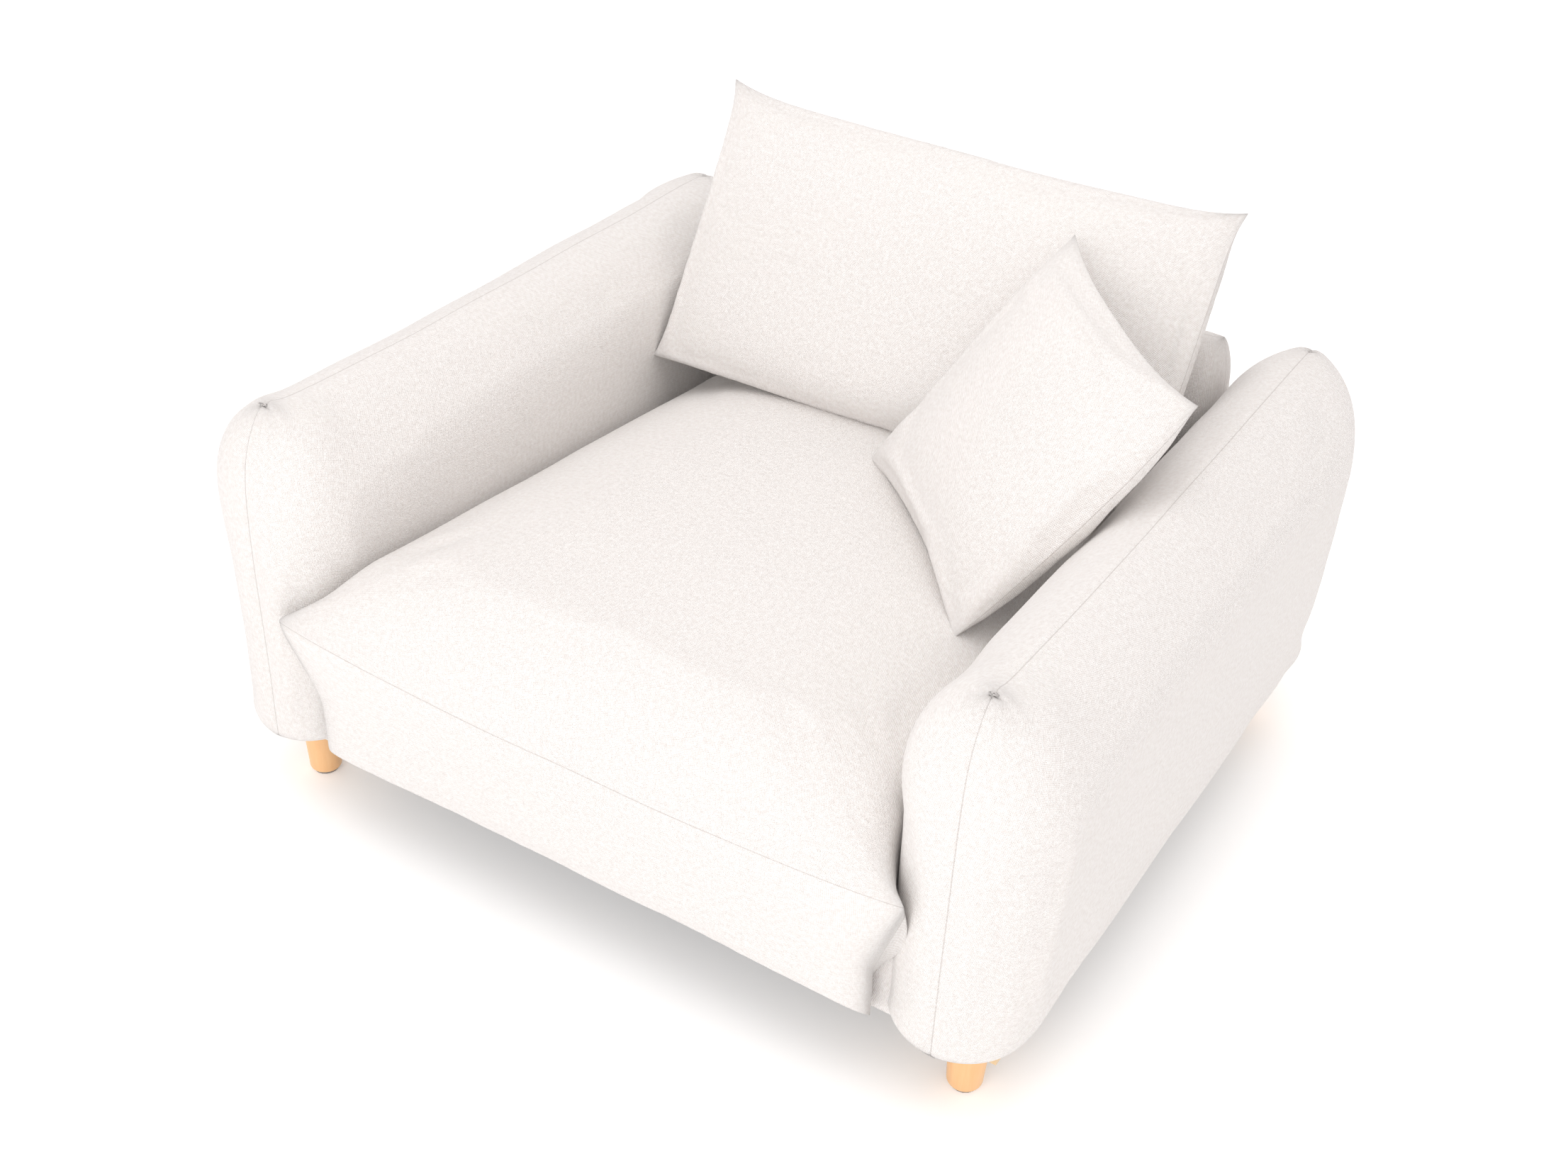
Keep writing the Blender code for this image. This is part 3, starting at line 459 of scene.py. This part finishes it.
def fill_under_pressure(piece, pressure, most, slack):
    """Fills a sewn cover as cloth with its seams held, evens out how far its points moved, and keeps each
    within a distance of its start. slack is how much longer the cloth is than the shape it starts from."""
    seams = piece.vertex_groups.new(name="seams")
    distance = np.empty(len(piece.data.vertices), np.float32)
    piece.data.attributes["seam"].data.foreach_get("value", distance)
    seams.add([int(i) for i in np.flatnonzero(distance < ON_SEAM)], 1.0, "REPLACE")
    cloth = piece.modifiers.new("filling", "CLOTH")
    settings = cloth.settings
    settings.quality = CLOTH_QUALITY
    settings.mass = CLOTH_MASS
    settings.tension_stiffness = settings.compression_stiffness = CLOTH_STIFFNESS
    settings.shear_stiffness = CLOTH_STIFFNESS / 2
    settings.bending_stiffness = CLOTH_BENDING
    settings.air_damping = CLOTH_AIR_DAMPING
    settings.use_pressure = True
    settings.uniform_pressure_force = pressure
    settings.shrink_min = -slack
    settings.effector_weights.gravity = 0
    settings.vertex_group_mass = seams.name
    cloth.collision_settings.use_collision = False
    start = points_of(piece.data)
    for step in range(1, SETTLE_FRAMES + 1):
        bpy.context.scene.frame_set(step)
    settled = evaluated_mesh(piece)
    move = points_of(settled) - start
    bpy.data.meshes.remove(settled)
    piece.modifiers.remove(cloth)
    piece.vertex_groups.remove(seams)
    bpy.context.scene.frame_set(1)
    edges = np.empty(len(piece.data.edges) * 2, np.int32)
    piece.data.edges.foreach_get("vertices", edges)
    first, second = edges.reshape(-1, 2).T
    neighbours = np.bincount(edges, minlength=len(start))[:, None]
    for _ in range(EASE_ROUNDS):
        total = np.zeros_like(move)
        np.add.at(total, first, move[second])
        np.add.at(total, second, move[first])
        move = np.where(distance[:, None] < ON_SEAM, 0, (move + total / neighbours) / 2)
    length = np.linalg.norm(move, axis=1, keepdims=True)
    move *= np.minimum(1, most / np.maximum(length, 1e-9))
    piece.data.vertices.foreach_set("co", (start + move).astype(np.float32).ravel())
    piece.data.update()


def refine(piece):
    """Applies one level of Subdivision Surface."""
    piece.modifiers.new("refine", "SUBSURF").levels = 1
    old, new = piece.data, evaluated_mesh(piece)
    name = old.name
    piece.modifiers.clear()
    piece.data = new
    bpy.data.meshes.remove(old)
    new.name = name


def sew_seams(piece, groove=SEAM_GROOVE, gather=GATHER_DEPTH, puckers=()):
    """Draws the cover in along its seams, with small gathers beside them, broad unevenness all over, and
    creases that run out from each pucker, given as (point, reach, depth)."""
    mesh = piece.data
    count = len(mesh.vertices)
    points = points_of(mesh)
    normals = np.empty(count * 3, np.float32)
    mesh.vertex_normals.foreach_get("vector", normals)
    normals = normals.reshape(-1, 3)
    seam = np.empty(count, np.float32)
    mesh.attributes["seam"].data.foreach_get("value", seam)
    lift = -groove * np.exp(-(seam / SEAM_GROOVE_WIDTH) ** 2)
    near = np.exp(-seam / GATHER_REACH) * (1 - np.exp(-(seam / GATHER_START) ** 2))
    for index, point in enumerate(points):
        place = Vector(point)
        lift[index] += HAND_DEPTH * noise.noise(place / HAND_SIZE)
        if near[index] > LEAST_GATHER:
            lift[index] += gather * near[index] * noise.noise(place / GATHER_SIZE)
    for centre, reach, depth in puckers:
        offset = points - np.array(centre)
        far = np.linalg.norm(offset, axis=1)
        turn = np.arctan2(offset[:, 2], np.abs(offset[:, 1]) + 0.6 * np.abs(offset[:, 0]))
        creases = np.sin(PUCKER_CREASES * turn + PUCKER_TWIST * offset[:, 0])
        lift += depth * np.exp(-((far / reach) ** PUCKER_FALL)) * creases
        lift -= PUCKER_DENT * np.exp(-((far / PUCKER_DENT_REACH) ** 2))
    mesh.vertices.foreach_set("co", (points + normals * lift[:, None]).astype(np.float32).ravel())
    mesh.update()


# ---------------------------------------------------------------- arms and back rest

def wall_place(low, high, along_y, columns, rows, rounds, ears, corner_in):
    """place() for a filled wall about its seam plane, in the box between two corners. It stands on a flat
    hem. For its first and last ends, rounds are how far they round off, and ears how far the seam rises
    at their top corners."""
    middle = (low + high) / 2
    length_axis, thick_axis = (1, 0) if along_y else (0, 1)
    half_length = (high[length_axis] - low[length_axis]) / 2
    half_thick = (high[thick_axis] - low[thick_axis]) / 2
    foot_z, top = low.z + WALL_FOOT_LIFT, high.z - max(ears)
    foot = half_thick - WALL_FOOT_IN
    first, last = ([(half_thick * rise, half_length - depth * (1 - fall))
                    for rise, fall in quarter(WALL_END_POWER)] for depth in rounds)
    plan = evenly([(thick, -run) for thick, run in first] + last[::-1], columns)
    hem = [(foot - WALL_FOOT_ROUND * (1 - rise), foot_z + WALL_FOOT_ROUND * (1 - fall))
           for rise, fall in quarter(2)]
    roll = [(half_thick * fall, top - WALL_TOP_ROUND * (1 - rise))
            for rise, fall in quarter(WALL_TOP_POWER)]
    section = evenly([(0, foot_z)] + hem + roll, rows)

    def place(u, v, side):
        plan_thick, run = plan[round((u + 1) / 2 * columns)]
        section_thick, z = section[round((v + 1) / 2 * rows)]
        up = (z - foot_z) / (top - foot_z)
        run *= 1 - corner_in / half_length * up ** CORNER_IN_POWER
        z += ears[u > 0] * abs(u) ** EAR_END_POWER * up ** EAR_TOP_POWER
        point = Vector((0, 0, z))
        point[length_axis] = middle[length_axis] + run
        point[thick_axis] = middle[thick_axis] + side * plan_thick / half_thick * section_thick
        return point
    return place


def make_arm(side_name):
    columns, rows = GRIDS["arm"]
    place = wall_place(*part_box(f"arm_{side_name}_cover"), True, columns, rows,
                       (WALL_FRONT_ROUND, WALL_REAR_ROUND), (ARM_EAR, ARM_REAR_EAR), ARM_CORNER_IN)
    arm = make_piece(f"arm_{side_name}_upholstery", sewn_panels(columns, rows, place), "chair_frame",
                     "cover_fabric", (f"arm_{side_name}_cover", f"arm_{side_name}_foam"))
    fill_under_pressure(arm, *FILLINGS["arm"])
    refine(arm)
    sew_seams(arm, puckers=[(place(end, 1, 1), reach, depth) for end, reach, depth in ARM_PUCKERS])


def make_back_rest():
    columns, rows = GRIDS["back_rest"]
    place = wall_place(*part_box("back_rest_cover"), False, columns, rows, (BACK_REST_END_ROUND,) * 2,
                       (BACK_REST_EAR,) * 2, BACK_REST_CORNER_IN)
    rest = make_piece("back_rest_upholstery", sewn_panels(columns, rows, place), "chair_frame",
                      "cover_fabric", ("back_rest_cover", "back_rest_foam"))
    fill_under_pressure(rest, *FILLINGS["back_rest"])
    refine(rest)
    sew_seams(rest)


def make_rail_facing():
    """Cloth wrapped over the front rail behind the pad's apron, run in behind the arms' rounded ends."""
    low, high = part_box("front_rail_facing")
    arm_low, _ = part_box("arm_right_cover")
    half_width = arm_low.x + FACING_RUN_IN
    bm = bmesh.new()
    size = Matrix.Diagonal((2 * half_width, high.y - low.y, high.z - low.z - 0.001, 1))
    bmesh.ops.create_cube(bm, size=1, matrix=Matrix.Translation((low + high) / 2) @ size)
    bmesh.ops.bevel(bm, geom=bm.edges[:], offset=FACING_EDGE, segments=2, affect="EDGES", profile=0.5,
                    material=-1)
    cut = bm.loops.layers.uv.new("cut")
    seam = bm.verts.layers.float.new("seam")
    for vert in bm.verts:
        vert[seam] = 1.0
        for loop in vert.link_loops:
            loop[cut].uv = (vert.co.x, vert.co.z)
    make_piece("front_rail_facing_cloth", bm, "chair_frame", "cover_fabric", ("front_rail_facing",))


# ---------------------------------------------------------------- seat pad

class PadCut:
    """Sections through the seat pad, as pairs of an outer and an inner point, row by row from its rear
    edge over the top, round the nose and down to the apron's hem."""

    def __init__(self):
        self.low, self.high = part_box("seat_pad_cover")
        self.half = self.high.x - PAD_EAR
        self.under = self.low.z + APRON_DEEP
        self.crown_front = self.low.y + PAD_ROLL
        self.rear = self.high.y
        self.seam_z = self.low.z + PAD_SEAM_RISE
        self.seam_row = PAD_ROWS["rear"] + PAD_ROWS["top"] + PAD_ROWS["roll"]
        self.count = self.seam_row + PAD_ROWS["apron"]

    def top(self, y, across):
        """Height of the top at a depth y and a share across its half width."""
        back = max(0.0, (y - self.crown_front) / (self.rear - self.crown_front))
        crown = self.high.z - PAD_CROWN_REAR_DROP * back
        rise = PAD_SIDE_FRONT + (PAD_SIDE_REAR - PAD_SIDE_FRONT) * back
        return crown - rise * abs(across) ** PAD_ROUND

    def pair(self, row, across):
        """(outer, inner) as (y, z) at a row."""
        low_y, hem = self.low.y, self.low.z
        apron_front = low_y + APRON_SET_BACK
        apron_rear = apron_front + APRON_THICK
        if row <= PAD_ROWS["rear"]:
            turn = row / PAD_ROWS["rear"] * math.pi / 2
            top = self.top(self.rear - PAD_REAR_ROUND, across)
            middle = (top + self.under) / 2
            y = self.rear - PAD_REAR_ROUND * (1 - math.cos(turn))
            return ((y, middle + (top - middle) * math.sin(turn)),
                    (y, middle - (middle - self.under) * math.sin(turn)))
        row -= PAD_ROWS["rear"]
        if row <= PAD_ROWS["top"]:
            back = 1 - row / PAD_ROWS["top"]
            y = self.crown_front + (self.rear - PAD_REAR_ROUND - self.crown_front) * back
            inner_rear = self.rear - (PAD_REAR_ROUND + PAD_UNDER_IN)
            inner_y = self.crown_front + PAD_UNDER_IN + (inner_rear - self.crown_front) * back
            return (y, self.top(y, across)), (inner_y, self.under)
        row -= PAD_ROWS["top"]
        nose = low_y + PAD_NOSE_EASE * abs(across) ** 3
        seam_z = self.seam_z - PAD_SEAM_SAG * (1 - across * across)
        if row <= PAD_ROWS["roll"]:
            turn = row / PAD_ROWS["roll"] * math.pi / 2
            crown = self.top(self.crown_front, across)
            outer = (self.crown_front - (self.crown_front - nose) * math.sin(turn),
                     seam_z + (crown - seam_z) * math.cos(turn))
            inner_y = (self.crown_front + PAD_UNDER_IN
                       + (apron_rear - self.crown_front - PAD_UNDER_IN) * row / PAD_ROWS["roll"])
            return outer, (inner_y, self.under)
        down = (row - PAD_ROWS["roll"]) / PAD_ROWS["apron"]
        hem_in = APRON_THICK / 2 * share(down, HEM_ROUND_FROM, 1) ** 3
        y = nose + (apron_front - nose) * math.sin(down * math.pi / 2) ** APRON_HANG + hem_in
        outer = (y, seam_z + (hem - seam_z) * down)
        inner = (apron_rear - hem_in, self.under + (hem - self.under) * down)
        return outer, inner

    def place(self, u, v, side):
        """place() for the pad, whose outer and inner panels are sides 1 and -1."""
        row = (v + 1) / 2 * self.count
        outer, inner = self.pair(row, u)
        to_seam = math.exp(-((row - self.seam_row) / PAD_SEAM_ROWS) ** 2)
        middle = [inner[i] + (outer[i] - inner[i]) * (0.5 + 0.5 * to_seam) for i in (0, 1)]
        shown = outer if side > 0 else inner
        full = math.sqrt(max(0, 1 - abs(u) ** PAD_SIDE_POWER))
        y, z = (middle[i] + (shown[i] - middle[i]) * full for i in (0, 1))
        ear = PAD_EAR * math.exp(-abs((row - self.seam_row) / PAD_EAR_ROWS) ** PAD_EAR_FALL)
        if row > self.seam_row and side > 0:
            ear = max(ear, PAD_HEM_FLARE)
        u = crowd(u)
        return Vector((u * (self.half + ear * abs(u) ** 3), y, z))


def make_seat_pad():
    cut = PadCut()
    bm = sewn_panels(PAD_COLUMNS, cut.count, cut.place, cut.seam_row)
    pad = make_piece("seat_pad_cover_sewn", bm, "seat_pad", "cover_fabric",
                     ("seat_pad_cover", "seat_pad_fibre_wrap"))
    fill_under_pressure(pad, *FILLINGS["seat_pad"])
    refine(pad)
    sew_seams(pad, groove=0.0008, gather=0.0006)


# ---------------------------------------------------------------- loose cushions

def cushion_place(corners, bulges, edges_in, power, foot_power, limit):
    """place() for a knife-edged cushion on its four seam corners (low left, low right, high right, high
    left). edges_in is how far the middles of its left, right, low and high edges draw in, as shares, and
    power how abruptly its corners stand out between them. A higher foot_power fills out its foot. limit
    keeps each point out of what the cushion rests on."""
    low_left, low_right, high_right, high_left = corners
    normal = (low_right - low_left).cross(high_left - low_left).normalized()
    left_in, right_in, low_in, high_in = edges_in

    def place(u, v, side):
        u, v = crowd(u), crowd(v)
        u_in = u * (1 - (right_in if u > 0 else left_in) * (1 - abs(v) ** power))
        v_in = v * (1 - (high_in if v > 0 else low_in) * (1 - abs(u) ** power))
        low = low_left.lerp(low_right, (1 + u_in) / 2)
        high = high_left.lerp(high_right, (1 + u_in) / 2)
        bulge = bulges[0] if side > 0 else bulges[1]
        v_power = CUSHION_ROUND if v > 0 else foot_power
        height = bulge * math.sqrt(max(0, (1 - abs(u) ** CUSHION_ROUND) * (1 - abs(v) ** v_power)))
        return limit(low.lerp(high, (1 + v_in) / 2) + side * height * normal)
    return place


def make_back_cushion():
    low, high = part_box("back_cushion_cover")
    rest_low, rest_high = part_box("back_rest_cover")
    lower = Vector((0, low.y + CUSHION_LOW_SEAM_BACK, low.z - CUSHION_LOW_SEAM_DROP))
    upper = Vector((0, rest_low.y + CUSHION_HIGH_SEAM_BACK, high.z))
    pad = PadCut()
    across = Vector((high.x, 0, 0))
    corners = [lower - across, lower + across, upper + across, upper - across]

    def limit(point):
        """Keeps it off the back rest, which it leans over, and off the pad."""
        over_rest = max(0.0, point.z - rest_high.z - CUSHION_LEAN_BELOW)
        rear = rest_low.y - CUSHION_BACK_GAP + over_rest * CUSHION_LEAN
        floor = max(low.z - CUSHION_SINK,
                    pad.top(min(point.y, pad.rear), point.x / pad.half) + CUSHION_REST_GAP)
        return Vector((point.x, min(point.y, rear), max(point.z, floor)))

    place = cushion_place(corners, CUSHION_BULGES, CUSHION_EDGES_IN, CUSHION_EDGE_POWER,
                          CUSHION_FOOT_POWER, limit)
    cushion = make_piece("back_cushion_sewn", sewn_panels(*GRIDS["back_cushion"], place), "back_cushion",
                         "cover_fabric", ("back_cushion_cover", "back_cushion_fill"))
    fill_under_pressure(cushion, *FILLINGS["back_cushion"])
    refine(cushion)
    sew_seams(cushion)


def make_throw_pillow():
    low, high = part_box("throw_pillow_cover")
    size = high - low
    corners = [Vector(low[i] + size[i] * corner[i] for i in range(3)) for corner in PILLOW_SEAM_CORNERS]
    middle = sum(corners, Vector()) / 4
    corners[2:] = [corner + PILLOW_TOP_OUT * (corner - middle) for corner in corners[2:]]
    arm_low, arm_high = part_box("arm_right_cover")
    seam_x, half_thick = (arm_low.x + arm_high.x) / 2, (arm_high.x - arm_low.x) / 2

    def limit(point):
        """Keeps it off the right arm's inner face and the roll of its top."""
        over = share(point.z, arm_high.z - ARM_EAR - WALL_TOP_ROUND, arm_high.z - ARM_EAR)
        face = seam_x - half_thick * (1 - over ** WALL_TOP_POWER) ** (1 / WALL_TOP_POWER)
        return Vector((min(point.x, face - PILLOW_ARM_GAP) if over < 1 else point.x, point.y, point.z))

    place = cushion_place(corners, PILLOW_BULGES, PILLOW_EDGES_IN, PILLOW_EDGE_POWER, CUSHION_ROUND, limit)
    pillow = make_piece("throw_pillow_sewn", sewn_panels(*GRIDS["throw_pillow"], place), "throw_pillow",
                        "cover_fabric", ("throw_pillow_cover", "throw_pillow_insert"))
    fill_under_pressure(pillow, *FILLINGS["throw_pillow"])
    refine(pillow)
    sew_seams(pillow)


# ---------------------------------------------------------------- feet

def make_foot(place_name):
    """Turned foot: a straight taper with eased edges, above its felt glide."""
    low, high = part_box("foot_" + place_name)
    x, y = (low.x + high.x) / 2, (low.y + high.y) / 2
    top, tip, ease = (high.x - low.x) / 2, FOOT_TIP_RADIUS, FOOT_TIP_EDGE
    profile = [(0, high.z), (top - FOOT_TOP_EDGE, high.z), (top, high.z - FOOT_TOP_EDGE),
               (tip + FOOT_TAPER_END, low.z + ease)]
    for step in range(1, FOOT_TIP_EDGE_STEPS + 1):
        turn = step / FOOT_TIP_EDGE_STEPS * math.pi / 2
        profile.append((tip - ease + ease * math.cos(turn), low.z + ease - ease * math.sin(turn)))
    profile.append((0, low.z))
    bm = bmesh.new()
    points = [bm.verts.new((x + radius, y, z)) for radius, z in profile]
    edges = [bm.edges.new(pair) for pair in zip(points, points[1:])]
    bmesh.ops.spin(bm, geom=points + edges, cent=(x, y, 0), axis=(0, 0, 1), angle=2 * math.pi,
                   steps=FOOT_TURNS, use_merge=True)
    bmesh.ops.remove_doubles(bm, verts=bm.verts, dist=0.00005)
    foot = make_piece("turned_foot_" + place_name, bm, "chair_frame", "foot_wood", ("foot_" + place_name,))
    foot.data.set_sharp_from_angle(angle=math.radians(FOOT_SHARP_ANGLE))


# ---------------------------------------------------------------- studio

def make_camera():
    camera = bpy.data.cameras.new("camera")
    camera.lens = CAMERA_LENS
    camera.sensor_width = 36
    camera.clip_end = 50
    holder = bpy.data.objects.new("camera", camera)
    holder.matrix_world = (
        Matrix.Translation(CAMERA_PLACE) @ Matrix.Rotation(math.radians(CAMERA_AZIMUTH), 4, "Z")
        @ Matrix.Rotation(math.radians(90 - CAMERA_ELEVATION), 4, "X")
        @ Matrix.Rotation(math.radians(CAMERA_ROLL), 4, "Z"))
    bpy.context.scene.collection.objects.link(holder)
    bpy.context.scene.camera = holder


def area_light(name, place, aim, size, power):
    light = bpy.data.lights.new(name, "AREA")
    light.shape = "DISK"
    light.size = size
    light.energy = power
    holder = bpy.data.objects.new(name, light)
    holder.location = place
    holder.rotation_euler = (Vector(aim) - Vector(place)).to_track_quat("-Z", "Y").to_euler()
    bpy.context.scene.collection.objects.link(holder)


def make_studio():
    scene = bpy.context.scene
    scene.view_settings.view_transform = "Standard"
    bm = bmesh.new()
    bmesh.ops.create_grid(bm, x_segments=1, y_segments=1, size=FLOOR_SIZE)
    mesh = bpy.data.meshes.new("floor")
    bm.to_mesh(mesh)
    bm.free()
    floor = bpy.data.objects.new("floor", mesh)
    pale = Finish("pale_floor", 0.9)
    pale.colour(pale.mix(pale.noise(object_place(pale), 2.0), FLOOR_DARK, FLOOR_LIGHT))
    pale.shader.inputs["Emission Color"].default_value = (1, 1, 1, 1)
    pale.shader.inputs["Emission Strength"].default_value = FLOOR_GLOW
    mesh.materials.append(pale.material)
    scene.collection.objects.link(floor)
    world = bpy.data.worlds.new("studio")
    world.use_nodes = True
    background = world.node_tree.nodes["Background"]
    background.inputs["Color"].default_value = WORLD_COLOUR
    background.inputs["Strength"].default_value = WORLD_STRENGTH
    scene.world = world
    for lamp in LAMPS:
        area_light(*lamp)


make_camera()
dress_frame()
for side_name in SIDES:
    make_arm(side_name)
make_back_rest()
make_rail_facing()
make_seat_pad()
make_back_cushion()
make_throw_pillow()
for end_name in ENDS:
    for side_name in SIDES:
        make_foot(f"{end_name}_{side_name}")
make_studio()
